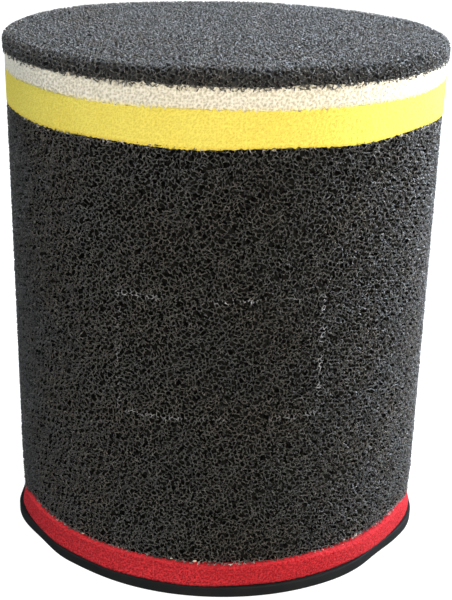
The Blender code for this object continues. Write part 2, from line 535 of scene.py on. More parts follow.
@dataclass(frozen=True)
class StrutFinish(Finish):
    """Oiled struts of open foam: near black, glossy, with glue and print caught on some of them; some strut ends
    carry painted highlights and the deeper struts painted shade.
    """

    # deep: painted shade, the colour that the deepest struts are darkened to.
    deep: Colour = (0.014, 0.014, 0.013)
    dull: Colour = (0.009, 0.010, 0.010)
    # outer and patch: painted highlight colours, which strut ends blend towards by a random share as glints.
    outer: Colour = (0.200, 0.206, 0.198)
    patch: Colour = (0.235, 0.186, 0.118)
    glue: Colour = (0.62, 0.60, 0.56)
    ink: Colour = (0.42, 0.43, 0.45)
    roughness: tuple[float, float] = (0.18, 0.40)
    shine: float = 0.75
    oil: float = 0.75
    oil_roughness: float = 0.32

    def wire(self, wires: Wiring, shader: bpy.types.Node) -> None:
        """Wires painted highlights, patches, painted shade by depth, glue and print into the colour, and grain into
        the gloss.
        """
        place = wires.place()
        patches = self.patches(wires, place, self.outer, self.patch, 60.0, 0.8)
        grain = self.grain(wires, place, 2600.0)
        # Painted highlight: each strut end blends from dull towards the glint colours by its random share.
        with_painted_glints = wires.mix(wires.attribute("painted_glint"), self.dull, patches)
        # Painted shade: struts deeper in the foam are darkened.
        shaded = wires.mix(wires.attribute("depth"), with_painted_glints, self.deep)
        printed = wires.mix(wires.attribute("ink"), shaded, self.ink)
        coated = wires.mix(wires.attribute("glue"), printed, self.glue)
        wires.tree.links.new(coated, shader.inputs["Base Color"])
        shader.inputs["Specular IOR Level"].default_value = self.shine
        shader.inputs["Coat Weight"].default_value = self.oil
        shader.inputs["Coat Roughness"].default_value = self.oil_roughness
        gloss = wires.ramp(grain, 0.3, 0.7, *self.roughness)
        wires.tree.links.new(gloss, shader.inputs["Roughness"])


@dataclass(frozen=True)
class CoreShadeFinish(Finish):
    """The foam behind the outer struts, where little light reaches: painted shade of dark holes between faint
    struts, standing for the deeper foam.
    """

    # Painted shade: hole is the near-black of the holes, strut the dim struts of the deeper foam.
    hole_shade: Colour = (0.0018, 0.0018, 0.0016)
    strut: Colour = (0.0085, 0.0085, 0.0075)
    shine: float = 0.0

    def wire(self, wires: Wiring, shader: bpy.types.Node) -> None:
        """Wires painted shade: cells of dark holes between faint struts."""
        place = wires.place()
        cells = place_effect(wires, Effect.PORES, {"Vector": place, "Per Metre": 720.0, "Opening": 0.44})
        colour = wires.mix(cells.outputs["Mask"], self.strut, self.hole_shade)
        wires.tree.links.new(colour, shader.inputs["Base Color"])
        shader.inputs["Specular IOR Level"].default_value = self.shine
        wires.tree.links.new(wires.ramp(cells.outputs["Mask"], 0, 1, 0.7, 0.95), shader.inputs["Roughness"])
        self.bump(wires, shader, cells.outputs["Height"], 0.5 * MM)


@dataclass(frozen=True)
class FineFoamFinish(Finish):
    """Fine open foam, paler on its ribs, its pores painted darker as painted shade."""

    rib: Colour = (0.80, 0.78, 0.72)
    patch: Colour = (0.80, 0.78, 0.72)
    # pore: painted shade, the colour that the pores are darkened to.
    pore: Colour = (0.45, 0.42, 0.33)
    pores_per_metre: float = 1500.0
    opening: float = 0.34
    pore_shade_share: float = 0.8
    edge: Colour = (0.80, 0.78, 0.72)
    shine: float = 0.12

    def wire(self, wires: Wiring, shader: bpy.types.Node) -> None:
        """Wires patches, painted shade in the pressed and painted pores, and grain."""
        place = wires.place()
        patches = self.patches(wires, place, self.rib, self.patch, 45.0, 0.7)
        edged = wires.mix(wires.attribute("edge"), patches, self.edge)
        cells = place_effect(
            wires, Effect.PORES, {"Vector": place, "Per Metre": self.pores_per_metre, "Opening": self.opening}
        )
        # Painted shade: the pressed pores and the painted pores are darkened towards the pore colour.
        pressed = wires.maths("MULTIPLY", wires.attribute("pore"), self.pore_shade_share)
        painted = wires.maths("MULTIPLY", cells.outputs["Mask"], self.pore_shade_share * 0.7)
        share = wires.maths("MAXIMUM", pressed, painted, clamp=True)
        wires.tree.links.new(wires.mix(share, edged, self.pore), shader.inputs["Base Color"])
        grain = self.grain(wires, place, 4200.0)
        wires.tree.links.new(wires.ramp(grain, 0.3, 0.7, 0.82, 0.98), shader.inputs["Roughness"])
        shader.inputs["Specular IOR Level"].default_value = self.shine
        height = wires.maths("ADD", cells.outputs["Height"], wires.maths("MULTIPLY", grain, 0.5))
        self.bump(wires, shader, height, 0.16 * MM, 0.8)


@dataclass(frozen=True)
class SealFinish(Finish):
    """Closed-cell foam: charcoal, even, with a skin of tiny cut bubbles painted darker as painted shade."""

    base: Colour = (0.010, 0.011, 0.012)
    patch: Colour = (0.015, 0.016, 0.016)
    # Painted shade: the darker colour inside the cut bubbles.
    bubble_shade: Colour = (0.006, 0.007, 0.007)
    shine: float = 0.06

    def wire(self, wires: Wiring, shader: bpy.types.Node) -> None:
        """Wires patches, painted shade in the bubbles, and grain."""
        place = wires.place()
        patches = self.patches(wires, place, self.base, self.patch, 90.0, 0.9)
        cells = place_effect(wires, Effect.PORES, {"Vector": place, "Per Metre": 3300.0, "Opening": 0.26})
        share = wires.maths("MULTIPLY", cells.outputs["Mask"], 0.7)
        colour = wires.mix(share, patches, self.bubble_shade)
        wires.tree.links.new(colour, shader.inputs["Base Color"])
        grain = self.grain(wires, place, 2500.0)
        wires.tree.links.new(wires.ramp(grain, 0.3, 0.7, 0.5, 0.72), shader.inputs["Roughness"])
        shader.inputs["Specular IOR Level"].default_value = self.shine
        height = wires.maths("ADD", cells.outputs["Height"], grain)
        self.bump(wires, shader, height, 0.05 * MM, 0.7)


@dataclass(frozen=True)
class GlueFinish(Finish):
    """Dried contact glue: whitish, in places clear and yellowed, with a soft shine."""

    base: Colour = (0.66, 0.64, 0.58)
    patch: Colour = (0.52, 0.44, 0.30)

    def wire(self, wires: Wiring, shader: bpy.types.Node) -> None:
        """Wires yellowed patches and a rippled surface."""
        place = wires.place()
        patches = self.patches(wires, place, self.base, self.patch, 220.0, 0.8)
        wires.tree.links.new(patches, shader.inputs["Base Color"])
        grain = self.grain(wires, place, 1300.0)
        wires.tree.links.new(wires.ramp(grain, 0.3, 0.7, 0.25, 0.6), shader.inputs["Roughness"])
        self.bump(wires, shader, grain, 0.12 * MM)


@dataclass(frozen=True)
class SteelFinish(Finish):
    """Zinc-plated steel wire: grey, drawn along its length, with dull and faintly yellow patches."""

    base: Colour = (0.60, 0.61, 0.62)
    patch: Colour = (0.58, 0.54, 0.44)

    def wire(self, wires: Wiring, shader: bpy.types.Node) -> None:
        """Wires plating patches and drawing marks."""
        place = wires.place()
        patches = self.patches(wires, place, self.base, self.patch, 140.0, 0.6)
        wires.tree.links.new(patches, shader.inputs["Base Color"])
        shader.inputs["Metallic"].default_value = 1.0
        grain = self.grain(wires, place, 900.0)
        wires.tree.links.new(wires.ramp(grain, 0.3, 0.7, 0.26, 0.5), shader.inputs["Roughness"])
        self.bump(wires, shader, grain, 0.03 * MM)


STRUTS = StrutFinish("coarse_foam_struts", "coarse_foam")
CORE = CoreShadeFinish("coarse_foam_core_shade", "coarse_foam")
# The lid's core takes lighter painted shade than the wall's.
LID_CORE = CoreShadeFinish("lid_foam_core_shade", "coarse_foam", hole_shade=(0.012, 0.012, 0.012), strut=(0.042, 0.043, 0.043))
# The pore colours of the fine foams are painted shade.
WHITE_FOAM = FineFoamFinish(
    "medium_foam",
    "medium_foam",
    rib=(0.84, 0.80, 0.69),
    patch=(0.82, 0.77, 0.62),
    pore=(0.42, 0.38, 0.26),
    pores_per_metre=1900.0,
    opening=0.27,
    edge=(0.84, 0.76, 0.42),
)
YELLOW_FOAM = FineFoamFinish(
    "fine_foam",
    "fine_foam",
    rib=(0.86, 0.75, 0.15),
    patch=(0.84, 0.68, 0.11),
    pore=(0.60, 0.46, 0.05),
    pores_per_metre=2300.0,
    opening=0.28,
    pore_shade_share=0.6,
    edge=(0.80, 0.60, 0.07),
)
RED_FOAM = FineFoamFinish(
    "soft_ring_foam",
    "soft_ring_foam",
    rib=(0.62, 0.035, 0.045),
    patch=(0.52, 0.022, 0.030),
    pore=(0.20, 0.006, 0.010),
    pores_per_metre=2000.0,
    opening=0.36,
    pore_shade_share=0.95,
    edge=(0.45, 0.02, 0.03),
)
SEAL_FOAM = SealFinish("closed_cell_seal", "closed_cell_seal")
GLUE = GlueFinish("dried_glue", "glue")
STEEL = SteelFinish("zinc_plated_steel", "zinc_plated_steel")


# ---------------------------------------------------------------- open foam


@dataclass(frozen=True)
class OpenCells:
    """The lattice of a reticulated foam: fourteen-sided cells that fill space, thrown out of order.

    Its points are in the sheet's own frame: along it, across it, and down into it.
    """

    cell: float = 1.66 * MM
    jitter: float = 0.21 * MM
    warp: float = 0.22 * MM
    turn: float = 0.30
    seed: int = 3

    def corner_pattern(self) -> tuple[Array, list[tuple[int, int, tuple[int, int, int]]]]:
        """The corners in one cube of the lattice, and the struts that start in it.

        Returns:
            The corners in cube widths, and for each strut its first corner, its second corner and
            the cube that the second is in.
        """
        found = {spot for level in (0.25, 0.75) for spot in itertools.permutations((0.0, level, 0.5))}
        corners = sorted(found)
        length = math.sqrt(0.125)
        struts = []
        for (first, a), (second, b) in itertools.combinations(enumerate(corners), 2):
            for step in itertools.product((-1, 0, 1), repeat=3):
                away = math.dist(a, [q + s for q, s in zip(b, step)])
                if abs(away - length) < 0.01:
                    struts.append((first, second, step))
        return np.array(corners), struts

    def axes(self) -> Array:
        """The sheet's three axes in the lattice's frame, its depth along a cube's diagonal."""
        depth = np.ones(3) / math.sqrt(3)
        first = np.array([1.0, -1.0, 0.0]) / math.sqrt(2)
        second = np.cross(depth, first)
        cos, sin = math.cos(self.turn), math.sin(self.turn)
        return np.array([cos * first + sin * second, cos * second - sin * first, depth])

    def fill(self, size: tuple[float, float, float]) -> tuple[Array, Array]:
        """Fills a block of the given size, from the origin, with the lattice.

        Args:
            size: The block's length, width and depth.

        Returns:
            The struts' first and second ends.
        """
        axes = self.axes()
        middle = np.array(size) / 2
        reach = math.ceil(math.hypot(size[0], size[1]) / 2 / self.cell) + 3
        layers = math.ceil(size[2] / 2 / self.cell * math.sqrt(3)) + 3
        i, j, layer = np.meshgrid(
            np.arange(-reach, reach + 1), np.arange(-reach, reach + 1), np.arange(-layers, layers + 1), indexing="ij"
        )
        cubes = np.stack([i.ravel(), j.ravel(), (layer - i - j).ravel()], axis=1)
        spots = cubes @ axes.T * self.cell
        inside = (np.abs(spots) < middle + self.cell * 1.2).all(axis=1)
        cubes = cubes[inside]
        corners, struts = self.corner_pattern()
        points = ((cubes[:, None, :] + corners[None]) @ axes.T * self.cell + middle).reshape(-1, 3)
        rng = np.random.default_rng(self.seed)
        points += rng.uniform(-1, 1, size=points.shape) * self.jitter * math.sqrt(3)
        points += smooth_noise(points, (3.2 * MM, 11 * MM), self.warp, self.seed + 1)
        keys = self.key(cubes)
        order = np.argsort(keys)
        ranked = keys[order]
        starts, ends = [], []
        for first, second, step in struts:
            wanted = self.key(cubes + np.array(step))
            spot = np.minimum(np.searchsorted(ranked, wanted), len(ranked) - 1)
            real = ranked[spot] == wanted
            starts.append(np.flatnonzero(real) * len(corners) + first)
            ends.append(order[spot[real]] * len(corners) + second)
        return points[np.concatenate(starts)], points[np.concatenate(ends)]

    @staticmethod
    def key(cubes: Array) -> Array:
        """One whole number for each cube of the lattice."""
        base = 4096
        shifted = cubes + base // 2
        return (shifted[:, 0] * base + shifted[:, 1]) * base + shifted[:, 2]


@dataclass
class StrutNet:
    """Loose struts between pairs of points, drawn as three-sided bars."""

    starts: Array
    ends: Array
    thickness: float = 0.22 * MM
    seed: int = 5

    def chosen(self, keep: Array) -> "StrutNet":
        """The net with only the struts that keep is true for."""
        return StrutNet(self.starts[keep], self.ends[keep], self.thickness, self.seed)

    def middles(self) -> Array:
        """The middle of each strut."""
        return (self.starts + self.ends) / 2

    def cut(self, depth: Callable[[Array], Array]) -> "StrutNet":
        """Cuts the net along the surface where depth is 0, and keeps the struts under it.

        Args:
            depth: Gives each point's depth under the surface.

        Returns:
            The cut net.
        """
        first, second = depth(self.starts), depth(self.ends)
        share_first = np.clip(-first / np.where(second - first == 0, 1, second - first), 0, 1)
        share_second = np.clip(-second / np.where(first - second == 0, 1, first - second), 0, 1)
        along = self.ends - self.starts
        starts = np.where((first < 0)[:, None], self.starts + along * share_first[:, None], self.starts)
        ends = np.where((second < 0)[:, None], self.ends - along * share_second[:, None], self.ends)
        return StrutNet(starts, ends, self.thickness, self.seed).chosen((first > 0) | (second > 0))

    def bars(self) -> tuple[Array, list[Array]]:
        """The bars' points and faces."""
        rng = np.random.default_rng(self.seed)
        count = len(self.starts)
        along = self.ends - self.starts
        along /= np.linalg.norm(along, axis=1, keepdims=True) + 1e-12
        side = np.cross(along, rng.normal(size=(count, 3)))
        side /= np.linalg.norm(side, axis=1, keepdims=True) + 1e-12
        other = np.cross(along, side)
        radius = self.thickness * 0.58 * rng.uniform(0.78, 1.22, size=(count, 1, 1))
        angle = np.arange(3) * (FULL_TURN / 3)
        ring = side[:, None] * np.cos(angle)[None, :, None] + other[:, None] * np.sin(angle)[None, :, None]
        vertices = np.concatenate([self.starts[:, None] + ring * radius, self.ends[:, None] + ring * radius], axis=1)
        base = np.arange(count)[:, None] * 6
        sides = [base + np.array([k, (k + 1) % 3, (k + 1) % 3 + 3, k + 3]) for k in range(3)]
        caps = [base + np.array([2, 1, 0]), base + np.array([3, 4, 5])]
        return vertices.reshape(-1, 3), [np.concatenate(sides), np.concatenate(caps)]

    def piece(self, name: str, depth: Callable[[Array], Array], full_depth: float) -> Piece:
        """Makes the net a piece, storing each point's share of the full depth, for painted shade, and a painted
        highlight share.
        """
        vertices, faces = self.bars()
        made = add_piece(name, vertices, faces, ELEMENT)
        # The depth share darkens the deeper struts as painted shade.
        paint(made, "depth", np.clip(depth(vertices) / full_depth, 0, 1) ** 1.4)
        rng = np.random.default_rng(self.seed + len(self.starts))
        # Painted highlight: a random share for each strut end, mostly small, that brightens it as a glint.
        paint(made, "painted_glint", np.repeat(rng.beta(0.55, 1.9, size=2 * len(self.starts)), 3))
        self.lay_out(made)
        return made

    @staticmethod
    def lay_out(piece: Piece) -> None:
        """Gives each strut its own small square of the piece's texture space."""
        mesh = piece.data
        vertex = np.empty(len(mesh.loops), dtype=np.int32)
        mesh.loops.foreach_get("vertex_index", vertex)
        strut, corner = vertex // 6, vertex % 6
        columns = math.ceil(math.sqrt(len(mesh.vertices) / 6))
        across = (corner % 3) / 2 * 0.6 + 0.2
        up = (corner // 3) * 0.6 + 0.2
        places = np.stack([(strut % columns + across) / columns, (strut // columns + up) / columns], axis=1)
        layer = mesh.uv_layers.new(name="OFBake")
        layer.data.foreach_set("uv", places.astype(np.float32).ravel())


# ---------------------------------------------------------------- the foam element


@dataclass
class Measures:
    """Sizes read from the frame."""

    def __post_init__(self) -> None:
        """Reads the boxes of the CAD nodes."""
        self.heights = {}
        self.radii = {}
        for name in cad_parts:
            low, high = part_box(name)
            self.heights[name] = (low.z, high.z)
            self.radii[name] = high.x

    def span(self, name: str) -> tuple[float, float]:
        """A node's lowest and highest height."""
        return self.heights[name]

    def radius(self, name: str) -> float:
        """A turned node's outer radius."""
        return self.radii[name]

    def boundary(self, lower: str, upper: str) -> float:
        """The height midway between one node's top and the next one's bottom."""
        return (self.heights[lower][1] + self.heights[upper][0]) / 2


@dataclass
class Outline:
    """The wobbling edges where the bands of foam meet, shared by the bands on both sides."""

    seed: int
    ragged: float = 0.14 * MM
    slow: float = 0.10 * MM

    def at(self, angle: Array) -> Array:
        """The edge's height above its mean at each angle."""
        fine = wave_round(angle, (90, 330), self.ragged, self.seed)
        return fine + wave_round(angle, (2, 9), self.slow, self.seed + 1)


@dataclass
class FineBand:
    """A disc or ring of fine foam whose outer side shows its pores.

    A disc has no bore. The bore of a ring is grained less finely than its outer side.
    """

    node: str
    finish: FineFoamFinish
    radius: float
    bottom: float
    top: float
    bore: float = 0.0
    pore_pitch: float = 0.8 * MM
    pore_depth: float = 0.26 * MM
    pore_size: tuple[float, float] = (0.18, 0.46)
    mesh_pitch: float = 0.30 * MM
    lower_edge: Outline | None = None
    upper_edge: Outline | None = None
    edge_width: float = 0.9 * MM
    corner: float = 0.10 * MM
    swell: float = 0.12 * MM
    foot_reach: float = 0.974
    seed: int = 11

    def outline(self) -> tuple[Array, Array]:
        """The band's outline down its outer side, and which of its points take pores."""
        top, bottom, radius, corner = self.top, self.bottom, self.radius, self.corner
        side = spread(top - corner, bottom + corner, self.mesh_pitch)
        outer = [(radius - corner * 3, top), (radius - corner * 0.35, top - corner * 0.3)]
        outer += [(radius, height) for height in side]
        outer += [(radius - corner * 0.35, bottom + corner * 0.3), (radius - corner * 3, bottom)]
        porous = [0.0, 0.6] + [1.0] * len(side) + [0.6, 0.0]
        if self.bore > 0:
            heights = spread(bottom + corner, top - corner, self.mesh_pitch * 6)
            outer += [(self.bore + corner, bottom)] + [(self.bore, h) for h in heights]
            outer += [(self.bore + corner, top)]
            porous += [0.0] + [0.5] * len(heights) + [0.0]
        return np.array(outer), np.array(porous)

    def build(self) -> Piece:
        """Turns the outline, presses the pores and moves the edges."""
        outline, porous = self.outline()
        steps = round(FULL_TURN * self.radius / self.mesh_pitch)
        points, angle = turned_vertices(outline, steps)
        around = np.repeat(angle[:, None], len(outline), axis=1)
        height = np.repeat(outline[None, :, 1], steps, axis=0)
        share = (height - self.bottom) / (self.top - self.bottom)
        lift = np.zeros_like(height)
        if self.lower_edge:
            lift += self.lower_edge.at(angle)[:, None] * np.clip(1 - share, 0, 1) ** 4
        if self.upper_edge:
            lift += self.upper_edge.at(angle)[:, None] * np.clip(share, 0, 1) ** 4
        distance = pore_distance(
            around * self.radius, height, FULL_TURN * self.radius, self.pore_pitch, self.seed
        )
        pore = (1 - smooth_step(distance, *self.pore_size)) * porous
        fuzz = smooth_noise(points.reshape(-1, 3), (0.7 * MM, 1.6 * MM), 0.022 * MM, self.seed + 2, waves=40)
        puff = smooth_noise(points.reshape(-1, 3), (14 * MM, 60 * MM), self.swell, self.seed + 3)
        inward = (pore * self.pore_depth - (fuzz + puff)[:, 0].reshape(pore.shape) * porous)[..., None]
        away = points.copy()
        away[..., 2] = 0
        away /= np.linalg.norm(away, axis=-1, keepdims=True)
        facing_out = np.where(outline[:, 0] > (self.radius + self.bore) / 2, 1.0, -1.0)[None, :, None]
        points -= away * inward * facing_out
        points[..., 2] += lift
        near = (height - self.bottom) / self.edge_width
        near_edge = 1 - smooth_step(near + (pore - 0.5) * 0.3, 0.0, 1.0)
        points = FOOT.press(points, self.foot_reach)
        faces = turned_faces(steps, len(outline), self.bore > 0)
        made = add_piece(self.node + "_foam", points.reshape(-1, 3), faces, ELEMENT)
        # The pore mask also darkens the pores as painted shade.
        paint(made, "pore", pore.ravel())
        paint(made, "edge", (near_edge * porous).ravel())
        dress(made, self.finish, (self.node,))
        return made


@dataclass
class CoarseFoam:
    """What the coarse disc and sleeve share: the net's depth, and how it lies over its core."""

    sizes: Measures
    net_depth: float = 0.90 * MM
    core_overlap: float = 0.15 * MM
    core_steps: int = 240
    struts_per_piece: int = 24_500

    def pieces_of(self, net: StrutNet, name: str, depth: Callable[[Array], Array], order: Array) -> list[Piece]:
        """Shares a net out over pieces of a like size.

        Args:
            net: The net.
            name: The pieces' common name.
            depth: Gives each point's depth under the surface.
            order: A number for each strut, which the pieces are sorted by.

        Returns:
            The pieces.
        """
        count = math.ceil(len(net.starts) / self.struts_per_piece)
        parts = np.array_split(np.argsort(order, kind="stable"), count)
        made = []
        for index, part in enumerate(parts):
            piece = net.chosen(part).piece(f"{name}_{index + 1}", depth, self.net_depth)
            made.append(piece)
        return made


@dataclass(frozen=True)
class PlainFrame:
    """An empty upright rectangle printed in a thin line on the front of the wall."""

    level: float = 72 * MM
    width: float = 56 * MM
    height: float = 34 * MM
    line: float = 0.55 * MM

    def ink(self, along: Array, up: Array) -> Array:
        """How much ink the line leaves at each place on the wall, from 0 to 1."""
        out_along = np.abs(along) - self.width / 2
        out_up = np.abs(up - self.level) - self.height / 2
        inside = np.maximum(out_along, out_up)
        outside = np.hypot(np.maximum(out_along, 0), np.maximum(out_up, 0))
        away = np.where(inside > 0, outside, -inside)
        return 1 - smooth_step(away, self.line * 0.7, self.line * 1.6)


@dataclass
class CoarseSleeve(CoarseFoam):
    """The black outer ply of the wall: a sheet of open foam rolled round, meeting at the back."""

    seam: float = 0.04 * MM
    seam_glue: float = 0.8 * MM
    glue_width: float = 1.1 * MM
    cut_roughness: float = 0.06 * MM
    ply: float = 5.0 * MM
    fringe: float = 0.5 * MM

    def __post_init__(self) -> None:
        """Reads the sleeve's place."""
        self.radius = self.sizes.radius("top_coarse_disc")
        self.low = self.sizes.boundary("base_soft_ring", "base_glue_ring")
        self.high = self.sizes.boundary("top_glue_ring", "top_fine_disc")
        self.inner = self.radius - self.ply

    def depth(self, points: Array) -> Array:
        """How deep points lie under the sleeve's outer surface."""
        return self.radius - np.hypot(points[:, 0], points[:, 1])

    def roll(self, points: Array) -> Array:
        """Bends a flat sheet round the axis, its two ends meeting at the back."""
        angle = points[:, 0] / self.radius
        reach = self.radius - points[:, 2]
        return np.stack([reach * np.sin(angle), reach * np.cos(angle), points[:, 1] + self.low], axis=1)

    def skin(self, points: Array) -> Array:
        """How deep points of the flat sheet lie under its unevenly cut face."""
        return points[:, 2] + smooth_noise(points, (1 * MM, 4 * MM), self.cut_roughness, 31)[:, 2]

    def left_end(self, points: Array) -> Array:
        """How far points of the flat sheet lie inside its first end."""
        return points[:, 0] - self.seam

    def right_end(self, points: Array) -> Array:
        """How far points of the flat sheet lie inside its last end."""
        return FULL_TURN * self.radius - self.seam - points[:, 0]

    def net(self) -> StrutNet:
        """The sleeve's struts, cut flat and then rolled."""
        length, height = FULL_TURN * self.radius, self.high - self.low
        starts, ends = OpenCells(seed=21).fill((length, height, self.net_depth))
        flat = StrutNet(starts, ends)
        flat = flat.cut(self.skin).cut(self.left_end).cut(self.right_end)
        middle = flat.middles()
        rng = np.random.default_rng(41)
        slack = rng.uniform(0, self.fringe, size=len(middle))
        keep = (middle[:, 2] < self.net_depth) & (middle[:, 1] > -slack) & (middle[:, 1] < height + slack)
        flat = flat.chosen(keep)
        return StrutNet(self.roll(flat.starts), self.roll(flat.ends), flat.thickness, 51)

    def glue(self, points: Array) -> Array:
        """Where dried glue whitens the struts: in patches along both ends of the sleeve."""
        angle = np.arctan2(points[:, 0], points[:, 1])
        patch = wave_round(angle, (6, 60), 1.0, 61) + wave_round(angle, (150, 420), 1.0, 62)
        up = self.high - points[:, 2] + wave_round(angle, (40, 160), 0.25 * MM, 63)
        down = points[:, 2] - self.low + wave_round(angle, (40, 160), 0.25 * MM, 64)
        near = 1 - smooth_step(np.minimum(up, down), 0.0, self.glue_width)
        ends = near * smooth_step(patch, 0.2, 1.6)
        beside = np.where(points[:, 1] > 0, np.abs(points[:, 0]), 1.0)
        smeared = smooth_noise(points, (3 * MM, 14 * MM), 1.0, 66)[:, 0]
        seam = (1 - smooth_step(beside, 0.0, self.seam_glue)) * smooth_step(smeared, -0.2, 1.4)
        return np.maximum(ends, seam)

    def ink(self, points: Array) -> Array:
        """Where worn print whitens the outer struts of the front."""
        along = np.arctan2(points[:, 0], -points[:, 1]) * self.radius
        inked = PlainFrame().ink(along, points[:, 2])
        worn = smooth_noise(points, (2 * MM, 9 * MM), 1.0, 65)[:, 0]
        on_top = 1 - smooth_step(self.depth(points), 0.15 * MM, 0.45 * MM)
        return inked * on_top * smooth_step(worn, -1.1, 1.1)

    def build(self) -> None:
        """Builds the struts and the dark core behind them."""
        net = self.net()
        middle = net.middles()
        order = np.arctan2(middle[:, 0], -middle[:, 1])
        for piece in self.pieces_of(net, "outer_coarse_sleeve_struts", self.depth, order):
            points = points_of(piece)
            paint(piece, "glue", self.glue(points))
            paint(piece, "ink", self.ink(points))
            move_points(piece, FOOT.press(points))
            dress(piece, STRUTS)
        LOG.info("outer sleeve: %d struts", len(net.starts))
        outer = self.radius - self.net_depth + self.core_overlap
        heights = spread(self.high - 0.2 * MM, self.low + 0.2 * MM, 6 * MM)
        outline = [(self.inner, heights[0])] + [(outer, h) for h in heights] + [(self.inner, heights[-1])]
        points, _ = turned_vertices(np.array(outline), self.core_steps)
        points = FOOT.press(points)
        faces = turned_faces(self.core_steps, len(outline), True)
        core = add_piece("outer_coarse_sleeve_core", points.reshape(-1, 3), faces, ELEMENT)
        core.data.set_sharp_from_angle(angle=math.radians(40))
        # The core's colour is painted shade for the foam behind the outer struts.
        dress(core, CORE, ("outer_coarse_sleeve",))


@dataclass
class CoarseDisc(CoarseFoam):
    """The black disc on top, its upper edge pressed round and its cut edge ragged over the white."""

    net_depth: float = 1.05 * MM
    rounding: float = 2.4 * MM
    fringe: float = 1.25 * MM
    dish: float = 0.22 * MM

    def __post_init__(self) -> None:
        """Reads the disc's place."""
        self.radius = self.sizes.radius("top_coarse_disc") + 0.60 * MM
        self.low = self.sizes.boundary("top_medium_disc", "top_coarse_disc")
        self.high = self.sizes.span("top_coarse_disc")[1]

    def surface(self, points: Array) -> Array:
        """The height of the disc's uneven top over each point."""
        flat = points.copy()
        flat[:, 2] = 0
        return self.high - self.dish + smooth_noise(flat, (18 * MM, 70 * MM), self.dish * 0.5, 71)[:, 2]

    def depth(self, points: Array) -> Array:
        """How deep points lie under the disc's top, rounded edge or side."""
        inward = self.radius - np.hypot(points[:, 0], points[:, 1])
        down = self.surface(points) - points[:, 2]
        corner = self.rounding
        rounded = corner - np.hypot(corner - inward, corner - down)
        return np.where((inward < corner) & (down < corner), rounded, np.minimum(inward, down))

    def net(self) -> StrutNet:
        """The disc's struts, cut from a flat block."""
        width, height = 2 * self.radius, self.high - self.low
        starts, ends = OpenCells(seed=22, turn=0.9).fill((width, width, height))
        shift = np.array([-self.radius, -self.radius, self.low])
        net = StrutNet(starts + shift, ends + shift, seed=52).cut(self.depth)
        middle = net.middles()
        rng = np.random.default_rng(42)
        slack = self.fringe * rng.uniform(0, 1, size=len(middle)) ** 1.3
        keep = (self.depth(middle) < self.net_depth) & (middle[:, 2] > self.low - slack)
        return net.chosen(keep)

    def build(self) -> None:
        """Builds the struts and the dark core under them."""
        net = self.net()
        middle = net.middles()
        for piece in self.pieces_of(net, "top_coarse_disc_struts", self.depth, middle[:, 0]):
            paint(piece, "glue", np.zeros(len(piece.data.vertices)))
            paint(piece, "ink", np.zeros(len(piece.data.vertices)))
            dress(piece, STRUTS)
        LOG.info("top disc: %d struts", len(net.starts))
        inset = self.net_depth - self.core_overlap
        edge = self.rounding - inset
        turn = np.linspace(math.pi / 2, 0, 9)
        centre = (self.radius - inset - edge, self.high - self.dish * 1.6 - inset - edge)
        outline = [(0.02, centre[1] + edge)]
        outline += [(centre[0] + edge * math.cos(a), centre[1] + edge * math.sin(a)) for a in turn]
        outline += [(self.radius - inset, self.low + 0.1 * MM)]
        points, _ = turned_vertices(np.array(outline), self.core_steps)
        faces = turned_faces(self.core_steps, len(outline), False)
        core = add_piece("top_coarse_disc_core", points.reshape(-1, 3), faces, ELEMENT)
        core.data.set_sharp_from_angle(angle=math.radians(40))
        # The core's colour is painted shade for the foam under the outer struts.
        dress(core, LID_CORE, ("top_coarse_disc",))


@dataclass
class ClosedTop:
    """The lid: the coarse disc and the edges of the white and yellow discs under it."""

    sizes: Measures

    def build(self) -> None:
        """Builds the three discs."""
        sizes = self.sizes
        CoarseDisc(sizes).build()
        radius = sizes.radius("top_medium_disc")
        white_low = sizes.boundary("top_fine_disc", "top_medium_disc")
        black_low = sizes.boundary("top_medium_disc", "top_coarse_disc")
        yellow_low = sizes.boundary("top_glue_ring", "top_fine_disc")
        meeting = Outline(seed=81)
        FineBand(
            "top_medium_disc",
            WHITE_FOAM,
            radius + 0.10 * MM,
            white_low,
            black_low - 0.05 * MM,
            lower_edge=meeting,
            upper_edge=Outline(seed=83, ragged=0.2 * MM),
            seed=12,
        ).build()
        FineBand(
            "top_fine_disc",
            YELLOW_FOAM,
            radius + 0.02 * MM,
            yellow_low,
            white_low - 0.02 * MM,
            pore_pitch=0.62 * MM,
            pore_depth=0.12 * MM,
            lower_edge=Outline(seed=85, ragged=0.12 * MM, slow=0.2 * MM),
            upper_edge=meeting,
            seed=13,
        ).build()


@dataclass(frozen=True)
class KnifeMark:
    """A place where the seal's hand-cut edge stands out or in.

    Its bearing is in degrees from the front, positive to the right.
    """

    bearing: float
    width: float
    height: float


KNIFE_MARKS = (
    KnifeMark(67, 6, 0.60 * MM),
    KnifeMark(50, 7, -0.80 * MM),
    KnifeMark(35, 8, 0.25 * MM),
    KnifeMark(-44, 5, 0.35 * MM),
    KnifeMark(-55, 5, -0.30 * MM),
    KnifeMark(-68, 7, 0.75 * MM),
    KnifeMark(150, 9, -0.6 * MM),
    KnifeMark(-120, 8, -0.5 * MM),
)


